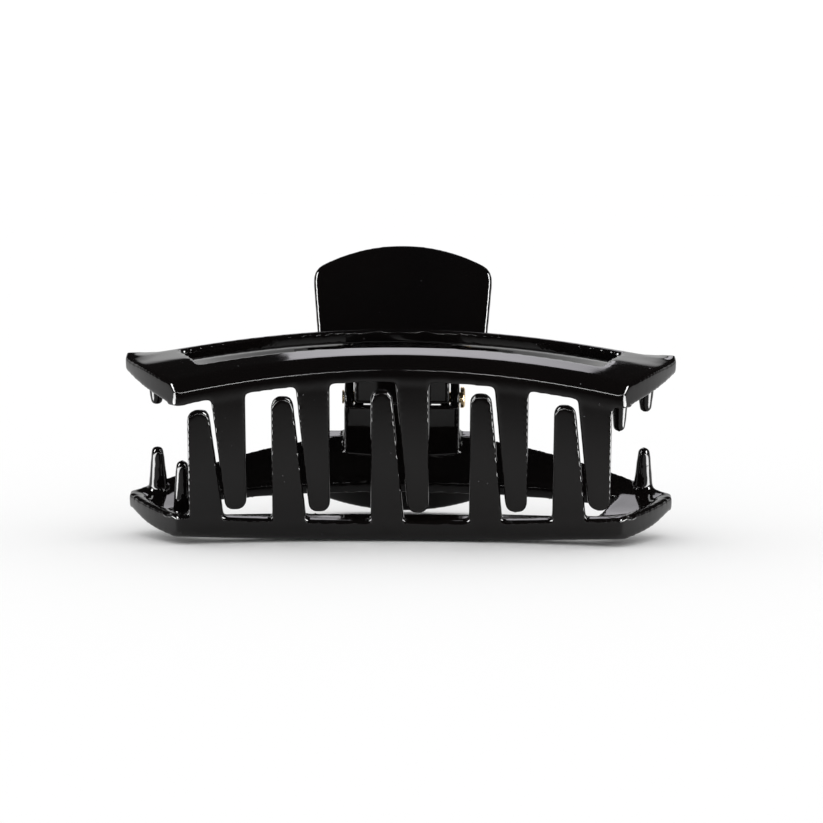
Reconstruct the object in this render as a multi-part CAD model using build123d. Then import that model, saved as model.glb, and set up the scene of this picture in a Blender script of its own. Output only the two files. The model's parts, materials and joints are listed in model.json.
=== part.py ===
from build123d import *
import math
import os

# Hair claw clip: two moulded jaws, a headed hinge pin and a torsion spring. Millimetres and degrees.
#
# The pieces are modelled in a clip frame and then laid down together. In the clip frame X runs along
# the hinge pin, Y from the teeth towards the thumb handles and Z across the jaws. The plane between
# the jaws is Z = 0 and the outer face of the front wall is at Y = 0 in the middle of the clip. Each
# jaw is modelled as the upper one stands. The lower jaw is then turned half a turn about Y, which puts
# its teeth beside the upper ones, and its hinge ears stand outside the upper jaw's.

# ---- overall sizes
JAW_LENGTH = 104.6  # between the rear corners of a jaw, along X
FRONT_LENGTH = 82.6  # between the front corners of a jaw, along X
FRONT_HEIGHT = 18.4  # mid-plane to the outer face over the front bend, in the middle
HINGE_DEPTH = 34.5  # front wall to the axis of the hinge pin

# ---- the curved plate of a jaw
WALL = 2.7  # thickness of the moulded plate
FRONT_BOW = 6.3  # how far the ends of the front wall stand forward of its middle
FRONT_DROP = 3.1  # how far the front bend comes in towards the mid-plane at its ends
LIP_DEPTH = 4.6  # height of the front wall above the openings between the teeth
FRONT_RADIUS = 0.2  # inside radius of the front bend; outside it is larger by the wall
CROWN_SHARE = 0.48  # where the plate's crown stands between the front wall and the shoulder
CROWN_RISE = 1.0  # the crown above the straight line from the front bend to the shoulder
CROWN_RADIUS = 42.3  # inside radius
SHOULDER_DEPTH = 27.0  # front wall to the shoulder where the plate turns down to the hinge
SHOULDER_HEIGHT = 16.5
SHOULDER_BOW = 17.0  # the ends of the shoulder stand this far forward of its middle
SHOULDER_DROP = 1.4
SHOULDER_RADIUS = 2.3  # inside radius
REAR_DEPTH = 35.3  # front wall to the rear edge of the plate, in the middle
REAR_HEIGHT = 8.9
REAR_BOW = 21.6
REAR_RISE = 6.6  # the rear edge stands this much higher at the ends than in the middle
END_CUT = 0.9  # how much of each rear corner's point is cut off square
END_BOW = 1.1  # how far each slanting end bulges from the straight line between its corners
END_WALL = 2.2  # thickness of the wall that turns in along each slanting end
END_LIP = 2.9  # height of that wall at the rear corner, outer face to lip
SECTION_COUNT = 9  # cross-sections that the plate is lofted through

# ---- the window in the plate
WINDOW_FRONT = 8.3  # width of the front bar, front wall to window, at the plate's outer face
WINDOW_SLANT = 42.0  # angle from the Z axis of the window's front side, which widens the bar inside
WINDOW_REAR_GAP = 2.2  # shoulder line to the window's rear edge
WINDOW_FRONT_HALF = 37.5
WINDOW_REAR_HALF = 42.0

# ---- teeth: the steep edge of each, along X, on the upper jaw
TOOTH_EDGES = (39.4, 24.0, 5.5, -13.1, -28.7)
TOOTH_BASE = 6.5  # width at the front wall
TOOTH_TIP = 4.0  # width across the tip
TOOTH_ROOT_THICKNESS = 2.3
TOOTH_SETBACK = 0.12  # the teeth start this far behind the front wall's outer face
TOOTH_TIP_THICKNESS = 1.8
TOOTH_GAP = 1.6  # tooth tip to the other jaw's front wall, closed
TIP_CORNER = 1.8  # radius of the tip's corners

# ---- round pegs near the ends: (x, y, height of the tip above the mid-plane)
PEGS = ((46.9, 14.3, 3.75), (41.3, 4.2, 3.15), (-47.0, 16.2, 4.1))
PEG_BASE_RADIUS = 2.1
PEG_TIP_RADIUS = 1.15

# ---- thumb handle
HANDLE_REACH = 22.0  # from the valley at the hinge to the top of the handle's arc
HANDLE_ANGLE = 62.4  # between the handle and the mid-plane
HANDLE_BASE_WIDTH = 33.1
HANDLE_WIDTH = 35.5  # widest, near the tip
HANDLE_SHOULDER = 8.2  # from the top of the arc down to the widest place
HANDLE_ARC = 5.0  # rise of the tip's arc
HANDLE_CORNER = 3.2
HANDLE_THICKNESS = 2.4

# ---- hinge
PIN_RADIUS = 1.1
PIN_CLEARANCE = 0.06  # radial, in the ears that turn on the pin
PIN_HEAD_RADIUS = 2.1
PIN_HEAD_THICKNESS = 0.9
PIN_TAIL_RADIUS = 1.35  # the end that is spread to keep the pin in
PIN_TAIL_THICKNESS = 0.3
EAR_RADIUS = 3.6
EAR_THICKNESS = 1.8
EAR_OUTER = 11.4  # middle of the clip to the outer faces of the lower jaw's ears
EAR_GAP = 0.2  # between neighbouring ears, and between an ear and the pin's head
WEB_THICKNESS = 1.5
WEB_CLEARANCE = 0.4  # between the web's rear face and the ears that turn behind it
JAW_GAP = 0.1  # half of the gap between the two webs, closed
ROOT_DROP = 0.9  # how far the root bar reaches below the plate's rear edge

# ---- torsion spring
WIRE_RADIUS = 0.55
COIL_CLEARANCE = 0.75  # pin to the inside of the coil
COIL_TURNS = 8
COIL_PITCH = 1.35
LEG_LENGTH = 13.0  # from the hinge axis along the handle
LEG_CLEARANCE = 0.05  # spring leg to the handle's inner face


def arch(amount, x, reach):
    """How far a parabolic arch has fallen at x when it has fallen by amount at reach."""
    return amount * (x / reach) ** 2


def front_y(x):
    return -arch(FRONT_BOW, x, FRONT_LENGTH / 2)


def front_z(x):
    return FRONT_HEIGHT - arch(FRONT_DROP, x, FRONT_LENGTH / 2)


def lip_z(x):
    return front_z(x) - LIP_DEPTH


def shoulder_y(x):
    return SHOULDER_DEPTH - arch(SHOULDER_BOW, x, JAW_LENGTH / 2)


def rear_edge(x):
    """Depth and height of the outer face at the plate's rear edge, as (y, z)."""
    return REAR_DEPTH - arch(REAR_BOW, x, JAW_LENGTH / 2), REAR_HEIGHT + arch(REAR_RISE, x, JAW_LENGTH / 2)


def plate_z(x, y):
    """Height of the plate's outer face between the front bend and the shoulder, corners not rounded."""
    share = (y - front_y(x)) / (shoulder_y(x) - front_y(x))
    rear = SHOULDER_HEIGHT - arch(SHOULDER_DROP, x, JAW_LENGTH / 2)
    crown = min(share / CROWN_SHARE, (1 - share) / (1 - CROWN_SHARE))
    return front_z(x) + share * (rear - front_z(x)) + CROWN_RISE * crown


def plate_corners(x):
    """Corners of the plate's outer face in the cross-section at x, from the lip to the rear edge."""
    crown_y = front_y(x) + CROWN_SHARE * (shoulder_y(x) - front_y(x))
    return [
        Vector(x, front_y(x), lip_z(x)),
        Vector(x, front_y(x), front_z(x)),
        Vector(x, crown_y, plate_z(x, crown_y)),
        Vector(x, shoulder_y(x), plate_z(x, shoulder_y(x))),
        Vector(x, *rear_edge(x)),
    ]


def inner_corners(outer, thickness):
    """The same corners moved in by the thickness, mitred at each bend."""
    x_axis = Vector(1, 0, 0)
    normals = [(b - a).cross(x_axis).normalized() for a, b in zip(outer, outer[1:])]
    moved = [outer[0] + normals[0] * thickness]
    for corner, before, after in zip(outer[1:-1], normals, normals[1:]):
        middle = (before + after).normalized()
        moved.append(corner + middle * (thickness / middle.dot(before)))
    moved.append(outer[-1] + normals[-1] * thickness)
    return moved


def rounded_path(corners, radii):
    """Edges of a path through the corners, with an arc at each inner corner."""
    edges = []
    start = corners[0]
    for corner, following, radius in zip(corners[1:-1], corners[2:], radii):
        back = (corners[corners.index(corner) - 1] - corner).normalized()
        ahead = (following - corner).normalized()
        half = math.radians(back.get_angle(ahead)) / 2
        tangent = radius / math.tan(half)
        middle = corner + (back + ahead).normalized() * (radius / math.sin(half) - radius)
        arc = ThreePointArc(corner + back * tangent, middle, corner + ahead * tangent)
        edges += [Line(start, arc @ 0), arc]
        start = arc @ 1
    return edges + [Line(start, corners[-1])]


def plate_section(x):
    outer = plate_corners(x)
    inner = inner_corners(outer, WALL)
    radii = (FRONT_RADIUS, CROWN_RADIUS, SHOULDER_RADIUS)
    outside = rounded_path(outer, [radius + WALL for radius in radii])
    inside = rounded_path(inner, radii)
    ends = [Line(outer[-1], inner[-1]), Line(outer[0], inner[0])]
    return make_face(Wire(outside + inside + ends))


def stations():
    """Places along X of the cross-sections, a little past both ends."""
    reach = JAW_LENGTH / 2 + 1.5
    return [reach * (2 * i / (SECTION_COUNT - 1) - 1) for i in range(SECTION_COUNT)]


def plan(points):
    """A closed outline through points of (x, y), on the XY plane."""
    return make_face(Polyline([(x, y, 0) for x, y in points], close=True))


def tall(face):
    """The face's shape as a prism that passes right through the clip along Z."""
    height = 3 * FRONT_HEIGHT
    return Pos(0, 0, -height) * extrude(face, 2 * height, dir=(0, 0, 1))


def end_corners():
    """Front and rear corner of the slanting end at +X, as (x, y)."""
    front = (FRONT_LENGTH / 2, front_y(FRONT_LENGTH / 2))
    return front, (JAW_LENGTH / 2 + END_CUT, rear_edge(JAW_LENGTH / 2)[0])


def end_frame():
    """A plane on the slanting end at +X: its x runs along the end, its y up and its z outwards."""
    (front_x, front), (half, rear) = end_corners()
    run = Vector(half - front_x, rear - front, 0)
    return Plane(origin=(front_x, front, 0), x_dir=run, z_dir=run.cross(Vector(0, 0, 1))), run.length


def end_arc(inward, side=1):
    """The bulging line of the end at +X or -X, seen from above, moved inwards and run on past its corners."""
    frame, length = end_frame()
    half = length / 2
    past = half + 2 * FRONT_BOW
    points = [(u, END_BOW * (1 - ((u - half) / half) ** 2)) for u in (half - past, half, half + past)]
    places = [frame.origin + frame.x_dir * u + frame.z_dir * (out - inward) for u, out in points]
    return ThreePointArc(*[(side * place.X, place.Y, 0) for place in places])


def end_trim():
    """Everything between the slanting ends of a jaw, seen from above."""
    right, left = end_arc(0), end_arc(0, side=-1)
    far = REAR_DEPTH + FRONT_HEIGHT
    back = [(right @ 1), (right.position_at(1).X, far), (left.position_at(1).X, far), (left @ 1)]
    sides = [Line(left @ 0, right @ 0)] + Polyline(back).edges()
    return tall(make_face(Wire([left, right] + sides)))


def window_outline(z):
    """The window's outline at this height. Its front side slants in under the front bar."""
    slant = math.tan(math.radians(WINDOW_SLANT))
    rear_mid = SHOULDER_DEPTH - WINDOW_REAR_GAP
    rear_end = shoulder_y(WINDOW_REAR_HALF) - WINDOW_REAR_GAP
    places = (-WINDOW_FRONT_HALF, 0, WINDOW_FRONT_HALF)
    front = [(x, WINDOW_FRONT + front_y(x) + (front_z(x) - z) * slant, z) for x in places]
    rear = [(-WINDOW_REAR_HALF, rear_end, z), (0, rear_mid, z), (WINDOW_REAR_HALF, rear_end, z)]
    sides = [Line(front[0], rear[0]), Line(front[-1], rear[-1])]
    return make_face(Wire([ThreePointArc(*front), ThreePointArc(*rear)] + sides))


def window():
    """The through window between the front bar and the rear bar."""
    low, high = SHOULDER_HEIGHT - 2 * WALL, FRONT_HEIGHT + WALL
    return loft([window_outline(low), window_outline(high)], ruled=True)


def end_wall():
    """The wall under the plate's slanting end at +X, lower towards the rear corner."""
    frame, length = end_frame()
    front_x = FRONT_LENGTH / 2
    rear_z = rear_edge(JAW_LENGTH / 2)[1]
    outline = [
        (0, lip_z(front_x)),
        (length, rear_z - END_LIP),
        (length, rear_z - WALL / 2),
        (0, front_z(front_x) - WALL / 2),
    ]
    band = frame * extrude(make_face(Polyline(outline, close=True)), 2 * END_WALL, both=True)
    outer, inner = end_arc(0), end_arc(END_WALL)
    strip = tall(make_face(Wire([outer, inner, Line(outer @ 0, inner @ 0), Line(outer @ 1, inner @ 1)])))
    return band & strip


def plate():
    shell = loft([plate_section(x) for x in stations()])
    trimmed = shell & end_trim()
    wall = end_wall()
    whole = trimmed + wall + mirror(wall, about=Plane.YZ) - window()
    return whole & Box(JAW_LENGTH, 4 * HINGE_DEPTH, 4 * FRONT_HEIGHT)


def tip_z(x):
    """Height of the tooth tips, which stop short of the other jaw's lip."""
    return -(lip_z(x) - TOOTH_GAP)


def blade_section(x):
    """Cross-section of the comb's blade, which the teeth are cut from."""
    face = front_y(x) + TOOTH_SETBACK
    top, tip = lip_z(x) + WALL / 2, tip_z(x)
    points = [
        (x, face, top),
        (x, face + TOOTH_ROOT_THICKNESS, top),
        (x, face + TOOTH_TIP_THICKNESS, tip),
        (x, face, tip),
    ]
    return make_face(Polyline(points, close=True))


def tooth_outline(edge):
    """A tooth seen from the front: one steep edge, one slanting edge and a rounded tip."""
    middle = edge - TOOTH_TIP / 2
    top, tip = lip_z(middle) + WALL / 2, tip_z(middle)
    points = [
        (edge, 0, top),
        (edge - TOOTH_BASE, 0, top),
        (edge - TOOTH_TIP, 0, tip),
        (edge, 0, tip),
    ]
    outline = make_face(Polyline(points, close=True))
    return fillet(outline.vertices().sort_by(Axis.Z)[:2], TIP_CORNER)


def teeth():
    blade = loft([blade_section(x) for x in stations()])
    reach = HINGE_DEPTH
    bars = [Pos(0, -reach, 0) * extrude(tooth_outline(e), 2 * reach, dir=(0, 1, 0)) for e in TOOTH_EDGES]
    return [blade & bar for bar in bars]


def peg(x, y, tip):
    """A tapered round peg that stands on the plate's inner face."""
    top = plate_z(x, y) - WALL / 2
    cone = Cone(PEG_TIP_RADIUS, PEG_BASE_RADIUS, top - tip, align=(Align.CENTER, Align.CENTER, Align.MIN))
    rounded = fillet(cone.edges().sort_by(Axis.Z)[0], 0.8 * PEG_TIP_RADIUS)
    return Pos(x, y, tip) * rounded


def handle_point(along, inward=0.0):
    """A point (y, z) on the handle: along it from the valley, and inward from its outer face."""
    angle = math.radians(HANDLE_ANGLE)
    y = REAR_DEPTH + along * math.cos(angle) + inward * math.sin(angle)
    return y, REAR_HEIGHT + along * math.sin(angle) - inward * math.cos(angle)


def handle():
    """Thumb plate with a slight flare and an arc across its tip."""
    half_base, half = HANDLE_BASE_WIDTH / 2, HANDLE_WIDTH / 2
    corner_height = HANDLE_REACH - HANDLE_ARC
    wide_height = HANDLE_REACH - HANDLE_SHOULDER
    top = ThreePointArc((-half, corner_height), (0, HANDLE_REACH), (half, corner_height))
    outline = Polyline(
        (-half, corner_height),
        (-half, wide_height),
        (-half_base, 0),
        (half_base, 0),
        (half, wide_height),
        (half, corner_height),
    )
    face = make_face(Wire([top] + outline.edges()))
    corners = [v for v in face.vertices() if abs(v.Y - corner_height) < 0.01]
    face = fillet(corners, HANDLE_CORNER)
    blank = extrude(face, HANDLE_THICKNESS, dir=(0, 0, -1))
    blank = fillet(blank.edges().group_by(Axis.Y)[-1], HANDLE_THICKNESS * 0.3)
    valley = Plane(
        origin=(0, REAR_DEPTH, REAR_HEIGHT),
        x_dir=(1, 0, 0),
        z_dir=(0, -math.sin(math.radians(HANDLE_ANGLE)), math.cos(math.radians(HANDLE_ANGLE))),
    )
    return valley * blank


def root_bottom():
    """Lowest height of the root bar, above the other jaw's ears."""
    return REAR_HEIGHT - ROOT_DROP


def side_face(points):
    """A closed outline through points of (y, z), on the YZ plane."""
    return make_face(Polyline([(0, y, z) for y, z in points], close=True))


def slab(face, start, end):
    """The side face as a prism from x = start to x = end."""
    return Pos(start, 0, 0) * extrude(face, end - start, dir=(1, 0, 0))


def root_bar():
    """The bar under the valley that joins the plate's rear edge to the handle's whole width."""
    bottom = root_bottom()
    inner_y = handle_point(0, HANDLE_THICKNESS)[0]
    front = HINGE_DEPTH - EAR_RADIUS
    points = [(front, bottom), (inner_y, bottom), handle_point(0.6, HANDLE_THICKNESS)]
    points += [handle_point(0.6), (REAR_DEPTH - 1.0, REAR_HEIGHT + 0.4), (front, REAR_HEIGHT + 1.6)]
    half = HANDLE_BASE_WIDTH / 2
    return slab(side_face(points), -half, half)


def ears(outer, bore_radius):
    """The two hinge ears whose outer faces stand this far from the middle of the clip."""
    front, back = HINGE_DEPTH - EAR_RADIUS, HINGE_DEPTH + EAR_RADIUS
    root = root_bottom() + WALL / 3
    stem = side_face([(front, 0), (back, 0), (back, root), (front, root)])
    disc = Pos(0, HINGE_DEPTH, 0) * (Plane.YZ * Circle(EAR_RADIUS))
    bore = Pos(0, HINGE_DEPTH, 0) * (Plane.YZ * Circle(bore_radius))
    start = outer - EAR_THICKNESS
    ear = slab(stem, start, outer) + slab(disc, start, outer)
    ear -= slab(bore, start - EAR_THICKNESS, outer + EAR_THICKNESS)
    return [ear, mirror(ear, about=Plane.YZ)]


def web(half_width):
    """The wall in front of the spring. The two jaws' webs meet at the mid-plane and stop the clip."""
    back = HINGE_DEPTH - EAR_RADIUS - WEB_CLEARANCE
    front = back - WEB_THICKNESS
    run, rise = REAR_DEPTH - SHOULDER_DEPTH, SHOULDER_HEIGHT - REAR_HEIGHT
    # the top lies inside the plate, which slopes from the shoulder down to the rear edge
    top = REAR_HEIGHT + rise * (REAR_DEPTH - back) / run - WALL * 0.7
    points = [(front, JAW_GAP), (back, JAW_GAP), (back, top), (front, top + WEB_THICKNESS * rise / run)]
    return slab(side_face(points), -half_width, half_width)


def jaw(ear_outer, bore_radius):
    body = plate() + teeth() + [peg(*p) for p in PEGS]
    body += handle()
    body += root_bar()
    body += web(ear_outer)
    return body + ears(ear_outer, bore_radius)


def hinge_pin():
    """A round pin with a thin head at +X and a spread tail at -X."""
    reach = EAR_OUTER + EAR_GAP
    shank = Cylinder(PIN_RADIUS, 2 * reach)
    head = Pos(0, 0, reach + PIN_HEAD_THICKNESS / 2) * Cylinder(PIN_HEAD_RADIUS, PIN_HEAD_THICKNESS)
    head = fillet(head.edges().sort_by(Axis.Z)[-1], PIN_HEAD_THICKNESS * 0.6)
    tail = Pos(0, 0, -reach - PIN_TAIL_THICKNESS / 2) * Cylinder(PIN_TAIL_RADIUS, PIN_TAIL_THICKNESS)
    return Pos(0, HINGE_DEPTH, 0) * Rot(0, 90, 0) * (shank + head + tail)


def leg_angle():
    """Angle between a spring leg and the mid-plane, so that its end lies against the handle."""
    angle = math.radians(HANDLE_ANGLE)
    y, z = handle_point(0, HANDLE_THICKNESS)
    face = (y - HINGE_DEPTH) * math.sin(angle) - z * math.cos(angle)
    end = face + WIRE_RADIUS + LEG_CLEARANCE
    coil = coil_radius()
    lean = math.atan2(LEG_LENGTH, coil) - math.acos(end / math.hypot(LEG_LENGTH, coil))
    return math.degrees(angle - lean)


def coil_radius():
    return PIN_RADIUS + COIL_CLEARANCE + WIRE_RADIUS


def torsion_spring():
    """A coil round the pin, whose two ends run straight out to the handles' inner faces."""
    lean = math.radians(leg_angle())
    turns = COIL_TURNS - (180 - 2 * leg_angle()) / 360
    length = turns * COIL_PITCH
    seat = Plane(
        origin=(-length / 2, HINGE_DEPTH, 0),
        x_dir=(0, math.sin(lean), -math.cos(lean)),
        z_dir=(1, 0, 0),
    )
    count = math.ceil(turns)
    step = length / count
    part = Helix(COIL_PITCH, step, coil_radius(), lefthand=True)
    coil = Wire([seat * Pos(0, 0, i * step) * Rot(0, 0, -360 * turns * i / count) * part for i in range(count)])
    start = Plane(origin=coil @ 0, z_dir=coil % 0) * Circle(WIRE_RADIUS)
    end = Plane(origin=coil @ 1, z_dir=coil % 1) * Circle(WIRE_RADIUS)
    first = extrude(start, LEG_LENGTH, dir=(coil % 0) * -1)
    last = extrude(end, LEG_LENGTH, dir=coil % 1)
    return sweep(start, coil) + first + last


def rest_tilt():
    """Angle that lays the lower jaw's front bend and handle tip on one level surface."""
    bend = FRONT_RADIUS + WALL
    tip_y, tip_z = handle_point(HANDLE_REACH)
    run, rise = tip_y - bend, tip_z - (FRONT_HEIGHT - bend)
    return math.degrees(math.atan2(rise, run) - math.asin(bend / math.hypot(run, rise)))


upper_jaw = jaw(EAR_OUTER - EAR_THICKNESS - EAR_GAP, PIN_RADIUS + PIN_CLEARANCE)
lower_jaw = Rot(0, 180, 0) * jaw(EAR_OUTER, PIN_RADIUS)
pieces = {
    "upper_jaw": upper_jaw,
    "lower_jaw": lower_jaw,
    "hinge_pin": hinge_pin(),
    "torsion_spring": torsion_spring(),
}

tilted = {name: Rot(rest_tilt(), 0, 0) * piece for name, piece in pieces.items()}
boxes = [piece.bounding_box() for piece in tilted.values()]
low = [min(getattr(box.min, side) for box in boxes) for side in "XYZ"]
high = [max(getattr(box.max, side) for box in boxes) for side in "XYZ"]
settle = Pos(-(low[0] + high[0]) / 2, -(low[1] + high[1]) / 2, -low[2])

os.makedirs("parts", exist_ok=True)
for name, piece in tilted.items():
    placed = settle * piece
    placed.label = name
    export_step(placed, f"parts/{name}.step")
    print(name, "solids", len(placed.solids()), "volume", round(placed.volume, 1))

axis_point = settle * Rot(rest_tilt(), 0, 0) * Pos(0, HINGE_DEPTH, 0)
print("tilt", round(rest_tilt(), 3), "hinge axis", axis_point.position)
print("overall size", [round(b - a, 2) for a, b in zip(low, high)])
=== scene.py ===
# %% [markdown]
# # A hair claw clip
#
# This script dresses a finished CAD model of a claw clip. The clip is two glossy black jaws, moulded in
# one shape, which turn on a pin and are held shut by a torsion spring. The model gives every size, place
# and joint. What is left for Blender is the skin of the plastic, the spring's wire, the light and the camera.
#
# The first cell loads the model as a fixed frame and keeps its box, which the finished clip has to stay in.

import json
import math

import bmesh
import bpy
from mathutils import Matrix, Vector


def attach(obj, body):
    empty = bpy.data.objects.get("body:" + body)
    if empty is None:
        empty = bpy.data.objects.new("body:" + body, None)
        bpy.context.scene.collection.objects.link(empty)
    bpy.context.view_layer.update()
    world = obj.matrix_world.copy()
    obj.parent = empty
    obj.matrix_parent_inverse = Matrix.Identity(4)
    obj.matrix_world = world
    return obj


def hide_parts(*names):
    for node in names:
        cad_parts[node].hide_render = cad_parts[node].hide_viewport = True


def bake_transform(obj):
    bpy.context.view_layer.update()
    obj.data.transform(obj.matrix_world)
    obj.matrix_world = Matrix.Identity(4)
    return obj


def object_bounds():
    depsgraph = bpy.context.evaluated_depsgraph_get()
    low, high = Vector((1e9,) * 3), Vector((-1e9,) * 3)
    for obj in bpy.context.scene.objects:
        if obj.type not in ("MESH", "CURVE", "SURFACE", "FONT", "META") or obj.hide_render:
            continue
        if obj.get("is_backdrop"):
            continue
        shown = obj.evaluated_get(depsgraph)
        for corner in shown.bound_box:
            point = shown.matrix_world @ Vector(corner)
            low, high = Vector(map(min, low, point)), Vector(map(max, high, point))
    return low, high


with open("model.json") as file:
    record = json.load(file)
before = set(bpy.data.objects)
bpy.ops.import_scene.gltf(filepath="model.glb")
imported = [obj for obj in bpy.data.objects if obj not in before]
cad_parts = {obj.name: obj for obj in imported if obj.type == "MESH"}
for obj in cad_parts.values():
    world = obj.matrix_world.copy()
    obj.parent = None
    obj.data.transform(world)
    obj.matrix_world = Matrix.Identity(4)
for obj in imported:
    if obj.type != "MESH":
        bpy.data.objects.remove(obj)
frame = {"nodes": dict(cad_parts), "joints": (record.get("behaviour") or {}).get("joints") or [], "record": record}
cad_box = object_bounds()
nodes = frame["nodes"]
record = frame["record"]
MM = 0.001
print("pieces in the frame:", sorted(nodes))

# %% [markdown]
# ## The clip's own directions
#
# The clip lies tilted, because it rests on a jaw's front bend and on a handle's tip. Most of its shape is
# easier to describe in its own directions: X along the pin, Y from the teeth to the handles and Z from
# jaw to jaw, with the pin's axis at the origin. The two thumb pads lean away from the middle by the same
# angle, so the sum of their directions points along the clip's own Y axis, and that gives the tilt.

# %% Find the clip's directions
joint = frame["joints"][0]
hinge = Vector(joint["pos_m"])
pads = {mount["name"]: mount for mount in record["mounts"]}
upper_pad, lower_pad = pads["upper_thumb_pad"], pads["lower_thumb_pad"]
towards_teeth = Vector(upper_pad["axis"]) + Vector(lower_pad["axis"])
tilt = math.atan2(-towards_teeth.z, -towards_teeth.y)
clip_to_world = Matrix.Translation(hinge) @ Matrix.Rotation(tilt, 4, "X")
handle_angle = math.pi / 2 - towards_teeth.angle(Vector(upper_pad["axis"]))
print("tilt", round(math.degrees(tilt), 2), "handle angle", round(math.degrees(handle_angle), 1))

# %% [markdown]
# ## The camera
#
# A long lens, a little more than half a metre away and only a few degrees above the table, shows the
# teeth in front and the thumb handle above them. The aim is worked out in the clip's own directions.
# A slight turn about the vertical lets one end show more than the other.

# %% Place the camera
CAMERA_DISTANCE = 550 * MM
CAMERA_PITCH = math.radians(18.0)  # below the clip's own mid-plane
CAMERA_TURN = math.radians(0.6)
CAMERA_ROLL = math.radians(-0.15)
FRONT_TO_HINGE = 34.5 * MM  # front wall to the pin's axis
TURN_CENTRE = 15 * MM - FRONT_TO_HINGE
LENS_SCALE = 3.562  # focal length as a share of the picture's width
AIM_RIGHT, AIM_UP = 2.06 * MM, 7.79 * MM  # how far the axis of the lens passes beside the clip's front


def camera_frame():
    """The camera's matrix: its right, up and back directions and its place."""
    pitch = CAMERA_PITCH
    right = Vector((1, 0, 0))
    up = Vector((0, math.sin(pitch), math.cos(pitch)))
    back = Vector((0, -math.cos(pitch), math.sin(pitch)))
    place = back * CAMERA_DISTANCE + right * AIM_RIGHT + up * AIM_UP
    place.y -= FRONT_TO_HINGE
    pose = Matrix((right, up, back)).transposed().to_4x4()
    pose.translation = place
    centre = Matrix.Translation((0, TURN_CENTRE, 0))
    roll_centre = Matrix.Translation((0, -FRONT_TO_HINGE, 0))
    turned = centre @ Matrix.Rotation(CAMERA_TURN, 4, "Z") @ centre.inverted()
    rolled = roll_centre @ Matrix.Rotation(CAMERA_ROLL, 4, "Y") @ roll_centre.inverted()
    return clip_to_world @ turned @ rolled @ pose


lens = bpy.data.cameras.new("product_lens")
lens.sensor_width = 36
lens.lens = LENS_SCALE * lens.sensor_width
lens.clip_start, lens.clip_end = 0.01, 20
camera = bpy.data.objects.new("product_camera", lens)
camera.matrix_world = camera_frame()
bpy.context.scene.collection.objects.link(camera)
bpy.context.scene.camera = camera
print("camera at", [round(v, 3) for v in camera.location], "lens", round(lens.lens, 1), "mm")

# %% [markdown]
# ## Writing node trees as sums
#
# Materials and Geometry Nodes are both built from nodes. Placing Math nodes one by one hides the sum
# that they stand for, so a small class wraps a socket and gives it `+`, `-`, `*` and `/`. The `Tree` class
# makes every other kind of node from its type, its settings and the values or links of its sockets.

# %% A small language for node trees
class Sum:
    """A number that a node tree works out. Python's operators add the Math nodes."""

    def __init__(self, tree, socket):
        self.tree, self.socket = tree, socket

    def math(self, operation, *others):
        return self.tree.math(operation, self, *others)

    def __add__(self, other):
        return self.math("ADD", other)

    def __sub__(self, other):
        return self.math("SUBTRACT", other)

    def __rsub__(self, other):
        return self.tree.math("SUBTRACT", other, self)

    def __mul__(self, other):
        return self.math("MULTIPLY", other)

    def __truediv__(self, other):
        return self.math("DIVIDE", other)

    __radd__, __rmul__ = __add__, __mul__


class Tree:
    """A node tree that is written as Python expressions."""

    def __init__(self, nodes_tree):
        self.tree = nodes_tree

    def node(self, kind, settings=None, **sockets):
        made = self.tree.nodes.new(kind)
        for name, value in (settings or {}).items():
            setattr(made, name, value)
        for name, value in sockets.items():
            self.feed(self.find(made.inputs, name), value)
        return made

    def find(self, sockets, name):
        """An input by its label, written with underscores, or by its number as in_0."""
        if name.startswith("in_"):
            return sockets[int(name[3:])]
        wanted = name.replace("_", " ").lower()
        return next(s for s in sockets if s.enabled and s.name.lower() == wanted)

    def feed(self, socket, value):
        if isinstance(value, Sum):
            value = value.socket
        if isinstance(value, bpy.types.NodeSocket):
            self.tree.links.new(value, socket)
        else:
            socket.default_value = value

    def out(self, node, name=0):
        return Sum(self, node.outputs[name])

    def math(self, operation, *values):
        sockets = {f"in_{i}": value for i, value in enumerate(values)}
        return self.out(self.node("ShaderNodeMath", {"operation": operation}, **sockets))


print("node helpers ready")

# %% [markdown]
# ## One skin for a moulded jaw
#
# A jaw leaves the mould as one piece of plastic: plate, teeth, pegs, handle and hinge ears run into each
# other through small rounded edges, and no edge is sharp. The CAD mesh has the right shape, but it is made
# of loose triangles and its edges are knife-sharp. Bevels on such a mesh break where many edges meet.
#
# A voxel remesh is sturdier. It wraps the whole solid in an even grid of small faces. A few rounds of
# blurring the points' places then wear the edges down, as polish and flow do in a real mould, and leave
# flat and gently curved faces as they are. The blur is a Geometry Nodes tree with named inputs, so the
# roundness is one number.

# %% The tree that rounds edges
def new_geometry_tree(name, inputs, takes_geometry=True):
    """An empty Geometry Nodes tree with these named inputs and a geometry output."""
    group = bpy.data.node_groups.new(name, "GeometryNodeTree")
    if takes_geometry:
        group.interface.new_socket("Geometry", in_out="INPUT", socket_type="NodeSocketGeometry")
    group.interface.new_socket("Geometry", in_out="OUTPUT", socket_type="NodeSocketGeometry")
    for label, (kind, value) in inputs.items():
        socket = group.interface.new_socket(label, in_out="INPUT", socket_type=f"NodeSocket{kind}")
        if value is not None:
            socket.default_value = value
    tree = Tree(group)
    return tree, tree.node("NodeGroupInput"), tree.node("NodeGroupOutput")


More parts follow.
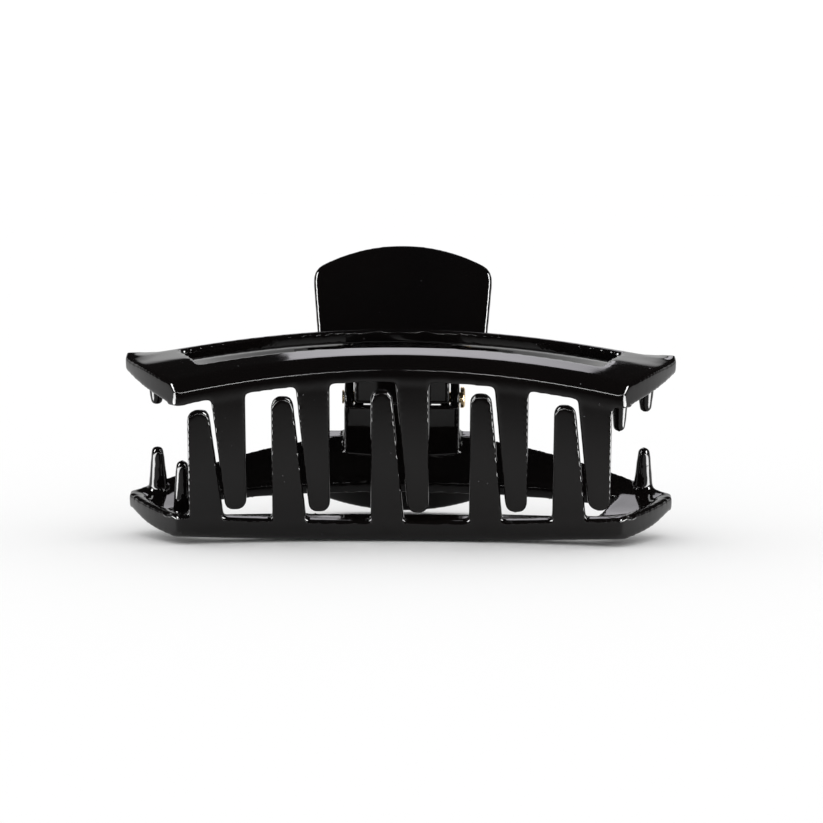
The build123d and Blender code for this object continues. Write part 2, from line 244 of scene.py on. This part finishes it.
def edge_rounding_tree():
    inputs = {"Passes": ("Int", 8), "Strength": ("Float", 0.9)}
    tree, given, result = new_geometry_tree("edge_rounding", inputs)
    place = tree.node("GeometryNodeInputPosition")
    blurred = tree.node(
        "GeometryNodeBlurAttribute",
        {"data_type": "FLOAT_VECTOR"},
        value=place.outputs[0],
        iterations=given.outputs["Passes"],
        weight=given.outputs["Strength"],
    )
    moved = tree.node(
        "GeometryNodeSetPosition", geometry=given.outputs["Geometry"], position=blurred.outputs[0]
    )
    shaded = tree.node("GeometryNodeSetShadeSmooth", geometry=moved.outputs[0])
    tree.feed(result.inputs["Geometry"], shaded.outputs[0])
    return tree.tree


def set_inputs(modifier, values):
    """Sets a Geometry Nodes modifier's inputs by name, through each socket's identifier."""
    for item in modifier.node_group.interface.items_tree:
        if item.item_type == "SOCKET" and item.in_out == "INPUT" and item.name in values:
            modifier[item.identifier] = values[item.name]


def baked(obj, name):
    """The object's evaluated mesh as a plain mesh object. The object itself is removed."""
    depsgraph = bpy.context.evaluated_depsgraph_get()
    mesh = bpy.data.meshes.new_from_object(obj.evaluated_get(depsgraph))
    mesh.name = name
    bpy.data.objects.remove(obj)
    made = bpy.data.objects.new(name, mesh)
    bpy.context.scene.collection.objects.link(made)
    return made


edge_rounding = edge_rounding_tree()
print("edge rounding inputs:", [s.name for s in edge_rounding.interface.items_tree])

# %% [markdown]
# The jaws are remeshed at a size well under the radius of the edges, so that the blur has enough points
# to round them with.

# %% Make the two jaws
VOXEL = 0.3 * MM
ROUNDING_PASSES = 8


def welded_copy(node):
    """A copy of a CAD node's mesh with its loose triangles joined at their corners."""
    mesh = nodes[node].data.copy()
    mesh.materials.clear()
    work = bmesh.new()
    work.from_mesh(mesh)
    bmesh.ops.remove_doubles(work, verts=work.verts, dist=MM / 1000)
    work.to_mesh(mesh)
    work.free()
    obj = bpy.data.objects.new(f"{node}_blank", mesh)
    bpy.context.scene.collection.objects.link(obj)
    return obj


def moulded_jaw(node, name):
    blank = welded_copy(node)
    remesh = blank.modifiers.new("skin", "REMESH")
    remesh.mode = "VOXEL"
    remesh.voxel_size = VOXEL
    rounding = blank.modifiers.new("rounding", "NODES")
    rounding.node_group = edge_rounding
    set_inputs(rounding, {"Passes": ROUNDING_PASSES})
    return baked(blank, name)


upper_shell = moulded_jaw("upper_jaw", "upper_jaw_moulding")
lower_shell = moulded_jaw("lower_jaw", "lower_jaw_moulding")
for shell in (upper_shell, lower_shell):
    print(shell.name, "faces", len(shell.data.polygons), "size", [round(v / MM, 2) for v in shell.dimensions])

# %% [markdown]
# ## The spring
#
# The spring is one length of wire: a coil round the pin, with both ends running straight out along the
# handles' inner faces. One rule covers all of it. A point's angle round the coil is held between the
# coil's first and last angle, and whatever is left over carries the point straight on along the tangent.
# That rule suits Geometry Nodes: a line of evenly spaced points is moved by it and swept with a round wire.

# %% The tree that winds a torsion spring
COIL_RADIUS = 2.4 * MM
WIRE_RADIUS = 0.55 * MM
COIL_PITCH = 1.35 * MM
COIL_TURNS = 8
LEG_LENGTH = 13 * MM
HANDLE_THICKNESS = 2.4 * MM
LEG_CLEARANCE = 0.05 * MM


def spring_tree():
    inputs = {
        "Turns": ("Float", 7.0),
        "Pitch": ("Float", COIL_PITCH),
        "Coil Radius": ("Float", COIL_RADIUS),
        "Leg": ("Float", LEG_LENGTH),
        "Wire Radius": ("Float", WIRE_RADIUS),
        "Points": ("Int", 420),
        "Finish": ("Material", None),
    }
    tree, given, result = new_geometry_tree("wound_spring", inputs, takes_geometry=False)
    turns, pitch, radius, leg, wire, points, finish = [tree.out(given, label) for label in inputs]

    last = turns * math.tau
    spare = leg / radius
    share = tree.out(tree.node("GeometryNodeInputIndex")) / (points - 1)
    angle = share * (last + spare * 2) - spare
    held = angle.math("MAXIMUM", 0).math("MINIMUM", last)
    over = (angle - held) * radius
    sine, cosine = held.math("SINE"), held.math("COSINE")
    # wound left-handed about X, from a start on the clip's underside
    along = held * pitch / math.tau - last * pitch / (2 * math.tau)
    across = radius * cosine - over * sine
    upward = -1 * (radius * sine + over * cosine)
    place = tree.node("ShaderNodeCombineXYZ", x=along, y=across, z=upward)

    line = tree.node("GeometryNodeMeshLine", count=points)
    moved = tree.node("GeometryNodeSetPosition", geometry=line.outputs[0], position=place.outputs[0])
    path = tree.node("GeometryNodeMeshToCurve", mesh=moved.outputs[0])
    ring = tree.node("GeometryNodeCurvePrimitiveCircle", resolution=16, radius=wire)
    tube = tree.node(
        "GeometryNodeCurveToMesh", curve=path.outputs[0], profile_curve=ring.outputs[0], fill_caps=True
    )
    shaded = tree.node("GeometryNodeSetShadeSmooth", geometry=tube.outputs[0])
    real = tree.node("GeometryNodeRealizeInstances", geometry=shaded.outputs[0])
    finished = tree.node("GeometryNodeSetMaterial", geometry=real.outputs[0], material=finish)
    tree.feed(result.inputs["Geometry"], finished.outputs[0])
    return tree.tree


wound_spring = spring_tree()
print("spring inputs:", [s.name for s in wound_spring.interface.items_tree if s.in_out == "INPUT"])

# %% [markdown]
# The angle of the two straight ends follows from where they lie: each end of the wire touches the inner
# face of its handle. The rest is a turn that points the first end along the upper handle.

# %% Wind the spring
def leg_angle():
    """Angle of a straight end to the clip's mid-plane, from the distance of the handle's inner face."""
    face = HANDLE_THICKNESS - (Vector(upper_pad["pos_m"]) - hinge).dot(Vector(upper_pad["axis"]))
    end = face + WIRE_RADIUS + LEG_CLEARANCE
    lean = math.atan2(LEG_LENGTH, COIL_RADIUS) - math.acos(end / math.hypot(LEG_LENGTH, COIL_RADIUS))
    return handle_angle - lean


def torsion_spring(finish):
    blank = bpy.data.objects.new("spring_blank", bpy.data.meshes.new("spring_blank"))
    bpy.context.scene.collection.objects.link(blank)
    winding = blank.modifiers.new("winding", "NODES")
    winding.node_group = wound_spring
    lean = leg_angle()
    turns = COIL_TURNS - (math.pi - 2 * lean) / math.tau
    set_inputs(winding, {"Turns": turns, "Finish": finish})
    made = baked(blank, "torsion_spring_wire")
    seat = Matrix.Rotation(lean - math.pi / 2, 4, "X")
    made.data.transform(clip_to_world @ seat)
    half = turns * COIL_PITCH / 2
    print("spring: turns", round(turns, 3), "straight ends at", round(math.degrees(lean), 1), "degrees")
    return made, Vector((half, 0, 0))

# %% [markdown]
# ## Glossy black plastic
#
# The jaws are polished black plastic. Seen close, it isn't one flat black: the surface waves slightly over
# a centimetre or so, which bends the edges of reflections, and it carries fine dust and duller smears.
# The body colour drifts a little between a cool and a warm black. A low index keeps the faces that look
# straight at the camera nearly black, and the shader's own Fresnel still makes grazing faces bright.

# %% Plastic
PLASTIC_INDEX = 1.36
COOL_BLACK, WARM_BLACK = (0.0022, 0.0021, 0.0023, 1), (0.0045, 0.0034, 0.0031, 1)
DUST_GREY = (0.07, 0.07, 0.075, 1)
POLISH = 0.045  # roughness of the clean surface
SMEAR_DULLNESS, DUST_DULLNESS = 0.05, 0.4
TINT_SIZE, DUST_PATCH_SIZE, SMEAR_SIZE = 30 * MM, 5 * MM, 14 * MM
DUST_PATCH_EDGES, SMEAR_EDGES = (0.48, 0.62), (0.42, 0.7)  # noise levels between which each fades in
DUST_COVER = 0.4
SPECK_HEIGHT, SPECK_STRENGTH = 0.02 * MM, 0.6
WAVE_SIZE, WAVE_DEPTH = 9 * MM, 0.045 * MM
DUST_SIZE, DUST_SHARE = 0.6 * MM, 0.04


def new_material(name):
    material = bpy.data.materials.new(name)
    material.use_nodes = True
    tree = Tree(material.node_tree)
    shader = material.node_tree.nodes["Principled BSDF"]
    where = tree.out(tree.node("ShaderNodeTexCoord"), "Object")
    return material, tree, shader, where


def noise(tree, where, size, detail=2.0, roughness=0.5):
    made = tree.node(
        "ShaderNodeTexNoise", vector=where, scale=1 / size, detail=detail, roughness=roughness
    )
    return tree.out(made, 0)


def between(tree, value, low, high):
    """0 below low, 1 above high and smooth between them."""
    made = tree.node(
        "ShaderNodeMapRange",
        {"interpolation_type": "SMOOTHSTEP"},
        value=value,
        from_min=low,
        from_max=high,
        to_min=0.0,
        to_max=1.0,
    )
    return tree.out(made)


def colour_mix(tree, share, first, second):
    made = tree.tree.nodes.new("ShaderNodeMix")
    made.data_type = "RGBA"
    tree.feed(made.inputs[0], share)
    tree.feed(made.inputs[6], first)
    tree.feed(made.inputs[7], second)
    return tree.out(made, 2)


def bump(tree, height, distance, strength=1.0, normal=None):
    made = tree.node("ShaderNodeBump", height=height, distance=distance, strength=strength)
    if normal is not None:
        tree.feed(made.inputs["Normal"], normal)
    return tree.out(made)


def black_plastic():
    material, tree, shader, where = new_material("polished_black_plastic")
    shader.inputs["IOR"].default_value = PLASTIC_INDEX
    shader.inputs["Specular IOR Level"].default_value = 0.5
    tint = noise(tree, where, TINT_SIZE)
    grains = tree.node("ShaderNodeTexVoronoi", {"feature": "F1"}, vector=where, scale=1 / (4 * DUST_SIZE))
    speck = 1 - between(tree, tree.out(grains, "Distance"), DUST_SHARE, DUST_SHARE * 2)
    patches = between(tree, noise(tree, where, DUST_PATCH_SIZE), *DUST_PATCH_EDGES)
    dust = speck * patches
    body = colour_mix(tree, tint, COOL_BLACK, WARM_BLACK)
    tree.feed(shader.inputs["Base Color"], colour_mix(tree, dust * DUST_COVER, body, DUST_GREY))
    smears = between(tree, noise(tree, where, SMEAR_SIZE, 3), *SMEAR_EDGES)
    tree.feed(shader.inputs["Roughness"], POLISH + smears * SMEAR_DULLNESS + dust * DUST_DULLNESS)
    waves = bump(tree, noise(tree, where, WAVE_SIZE, 1.0), WAVE_DEPTH)
    tree.feed(shader.inputs["Normal"], bump(tree, dust, SPECK_HEIGHT, SPECK_STRENGTH, waves))
    return material


plastic = black_plastic()
print("plastic nodes:", len(plastic.node_tree.nodes))

# %% [markdown]
# ## Brass pin and steel wire
#
# Both metals are small and mostly hidden behind the hinge ears. Drawn wire has faint lines along its
# length. A stretched noise gives them on the pin, which is straight, and a plain fine noise does on the
# coiled wire.

# %% Metals
STAIN_SIZE, STAIN_EDGES, STAIN_COVER = 2.5 * MM, (0.45, 0.75), 0.6
LINE_DULLNESS, STAIN_DULLNESS = 0.12, 0.1
LINE_DEPTH, LINE_STRENGTH = 0.01 * MM, 0.4


def drawn_metal(name, colour, dark_colour, stretch, roughness):
    material, tree, shader, where = new_material(name)
    shader.inputs["Metallic"].default_value = 1.0
    scaled = tree.node("ShaderNodeMapping", vector=where, scale=stretch)
    lines = noise(tree, scaled.outputs[0], 1.0, 4.0)
    stain = between(tree, noise(tree, where, STAIN_SIZE, 3.0), *STAIN_EDGES)
    tree.feed(shader.inputs["Base Color"], colour_mix(tree, stain * STAIN_COVER, colour, dark_colour))
    tree.feed(shader.inputs["Roughness"], roughness + lines * LINE_DULLNESS + stain * STAIN_DULLNESS)
    tree.feed(shader.inputs["Normal"], bump(tree, lines, LINE_DEPTH, LINE_STRENGTH))
    return material


brass = drawn_metal(
    "drawn_brass", (0.72, 0.55, 0.33, 1), (0.36, 0.24, 0.13, 1), (400.0, 6000.0, 6000.0), 0.2
)
steel = drawn_metal(
    "bright_spring_steel", (0.55, 0.55, 0.56, 1), (0.22, 0.21, 0.2, 1), (3000.0, 3000.0, 3000.0), 0.18
)
print("metals:", brass.name, steel.name)

# %% [markdown]
# ## Putting the jaws on their bodies
#
# Each moulding stands for its CAD jaw and moves with that jaw's body. The wire is wound last, in its
# resting shape, and is attached to neither body.

# %% Finish and attach the pieces
for shell, jaw in ((upper_shell, "upper_jaw"), (lower_shell, "lower_jaw")):
    shell.data.materials.clear()
    shell.data.materials.append(plastic)
    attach(shell, jaw)  # each jaw's body has the name of its CAD node
    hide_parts(jaw)

pin_mesh = nodes["hinge_pin"].data
for i in range(len(pin_mesh.materials)):
    pin_mesh.materials[i] = brass

wire, half_coil = torsion_spring(steel)
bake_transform(wire)
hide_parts("torsion_spring")
print("pieces attached:", upper_shell.name, lower_shell.name, wire.name)

# %% [markdown]
# ## The studio
#
# The clip lies on a white table in an evenly white room, which gives the pale ground and its soft shadow.
# Glossy black plastic shows the room rather than its own colour, so what it mirrors is set apart from the
# even light: for mirrored rays the room is white only near the horizon behind the clip and dark above and
# in front, and the table's colour is painted darker towards its front edge: painted shade, as if a dark
# card stood beside the camera.
# A small light above and behind puts the pale band on the front bars. A tall narrow light at each side
# draws the bright lines on the rounded edges. These three are seen only in reflections, so they don't
# wash out the soft shadow.

# %% Lights
def soft_light(name, place, aim, size, watts, colour=(1, 1, 1)):
    lamp = bpy.data.lights.new(name, "AREA")
    lamp.shape = "RECTANGLE"
    lamp.size, lamp.size_y = size
    lamp.energy = watts
    lamp.color = colour
    obj = bpy.data.objects.new(name, lamp)
    obj.location = place
    obj.rotation_euler = (Vector(aim) - Vector(place)).to_track_quat("-Z", "Y").to_euler()
    obj.visible_diffuse = False
    bpy.context.scene.collection.objects.link(obj)
    return obj


centre = Vector((0, 0, 25 * MM))
soft_light("band_light", (0.014, 0.34, 0.275), centre, (0.15, 0.1), 0.11, (0.97, 0.95, 1.0))
soft_light("left_strip", (-0.4, -0.23, 0.22), centre, (0.15, 0.36), 9.0)
soft_light("right_strip", (0.4, -0.23, 0.22), centre, (0.15, 0.36), 9.0)

# %% [markdown]
# Both the table and the room ask what kind of ray reaches them. That is a question about light, not about
# where the camera stands, so every view of the clip gets the same studio. For mirrored rays the table also
# glows in a patch at each side of the clip's front: painted light that no lamp gives. The pegs lean
# forward and mirror the table there, and it gives them their bright edges.

# %% Table and room
TABLE_HALF = 6.0
# the last value is painted shade: the table's colour that mirrored rays meet in front of the clip
TABLE_WHITE, TABLE_MIRRORED, PAINTED_SHADE_GREY = 0.9, 0.8, 0.02
PAINTED_SHADE_START, PAINTED_SHADE_END = -0.04, -0.09  # where the table's colour for mirrored rays turns to painted shade, along Y
ROOM_LIGHT = 1.115
GLOW_START, GLOW_END, GLOW_BACK = 0.075, 0.13, -0.012  # the painted glowing patches, along X and at the back along Y
GLOW_STRENGTH = 30.0
GLOW_START_BLUR, GLOW_END_BLUR, GLOW_BACK_BLUR = 0.004, 0.01, 0.005
HORIZON_TOP, HORIZON_BLUR = 0.43, 0.04  # sine of the height at which the mirrored room has turned dark
HORIZON_BEHIND = (0.2, 0.7)  # how far a direction points backwards before the horizon is lit
HORIZON_LIGHT, HORIZON_EXTRA, EXTRA_HEIGHTS = 0.62, 0.4, (0.1, 0.35)  # brighter towards its top
DARK_ROOM = 0.015


def grey(value):
    return (value, value, value, 1)


def past(tree, value, place, blur):
    """0 before this place and 1 past it, with a soft edge."""
    return between(tree, value, place - blur, place + blur)


def mirrored_ray(tree):
    return tree.out(tree.node("ShaderNodeLightPath"), "Is Glossy Ray")


def white_table():
    mesh = bpy.data.meshes.new("white_table")
    corners = [(x * TABLE_HALF, y * TABLE_HALF, 0) for x, y in ((-1, -1), (1, -1), (1, 1), (-1, 1))]
    mesh.from_pydata(corners, [], [(0, 1, 2, 3)])
    table = bpy.data.objects.new("white_table", mesh)
    bpy.context.scene.collection.objects.link(table)
    material, tree, shader, where = new_material("matt_white_table")
    shader.inputs["Roughness"].default_value = 0.9
    shader.inputs["Specular IOR Level"].default_value = 0.0
    parts = tree.node("ShaderNodeSeparateXYZ", vector=where)
    # painted shade: for mirrored rays the table's colour darkens towards its front
    lit = between(tree, tree.out(parts, 1), PAINTED_SHADE_END, PAINTED_SHADE_START)
    mirrored = colour_mix(tree, lit, grey(PAINTED_SHADE_GREY), grey(TABLE_MIRRORED))
    mirror = mirrored_ray(tree)
    tree.feed(shader.inputs["Base Color"], colour_mix(tree, mirror, grey(TABLE_WHITE), mirrored))
    aside = tree.out(parts, 0).math("ABSOLUTE")
    near = past(tree, aside, GLOW_START, GLOW_START_BLUR)
    far = past(tree, aside, GLOW_END, GLOW_END_BLUR)
    rear = past(tree, tree.out(parts, 1), GLOW_BACK, GLOW_BACK_BLUR)
    # painted light: the table glows here for mirrored rays, though no lamp is there
    glow = near * (1 - far) * (1 - rear) * mirror
    tree.feed(shader.inputs["Emission Color"], colour_mix(tree, glow, grey(0), grey(1)))
    shader.inputs["Emission Strength"].default_value = GLOW_STRENGTH
    mesh.materials.append(material)
    table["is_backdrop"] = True
    return table


def white_room():
    world = bpy.data.worlds.new("white_room")
    world.use_nodes = True
    tree = Tree(world.node_tree)
    background = world.node_tree.nodes["Background"]
    background.inputs["Color"].default_value = (1, 1, 1, 1)
    where = tree.node("ShaderNodeTexCoord")
    parts = tree.node("ShaderNodeSeparateXYZ", vector=where.outputs["Generated"])
    behind = between(tree, tree.out(parts, 1), *HORIZON_BEHIND)
    height = tree.out(parts, 2)
    low = 1 - past(tree, height, HORIZON_TOP, HORIZON_BLUR)
    light = HORIZON_LIGHT + between(tree, height, *EXTRA_HEIGHTS) * HORIZON_EXTRA
    studio = DARK_ROOM + behind * low * light
    mirror = mirrored_ray(tree)
    tree.feed(background.inputs["Strength"], (1 - mirror) * ROOM_LIGHT + mirror * studio)
    bpy.context.scene.world = world
    return world


table, room = white_table(), white_room()
bpy.context.scene.view_settings.view_transform = "Standard"
print("studio ready:", table.name, room.name)

# %% [markdown]
# ## Measure
#
# The finished clip's box is measured, and how far it outgrows the CAD model's box is printed.
# The finished clip has to keep to the CAD model's size.

# %% Finish
bpy.context.view_layer.update()
clip_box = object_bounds()
growth = [round(((clip_box[1] - clip_box[0])[i] - (cad_box[1] - cad_box[0])[i]) / MM, 3) for i in range(3)]
print("the clip outgrows its CAD box by", growth, "mm")
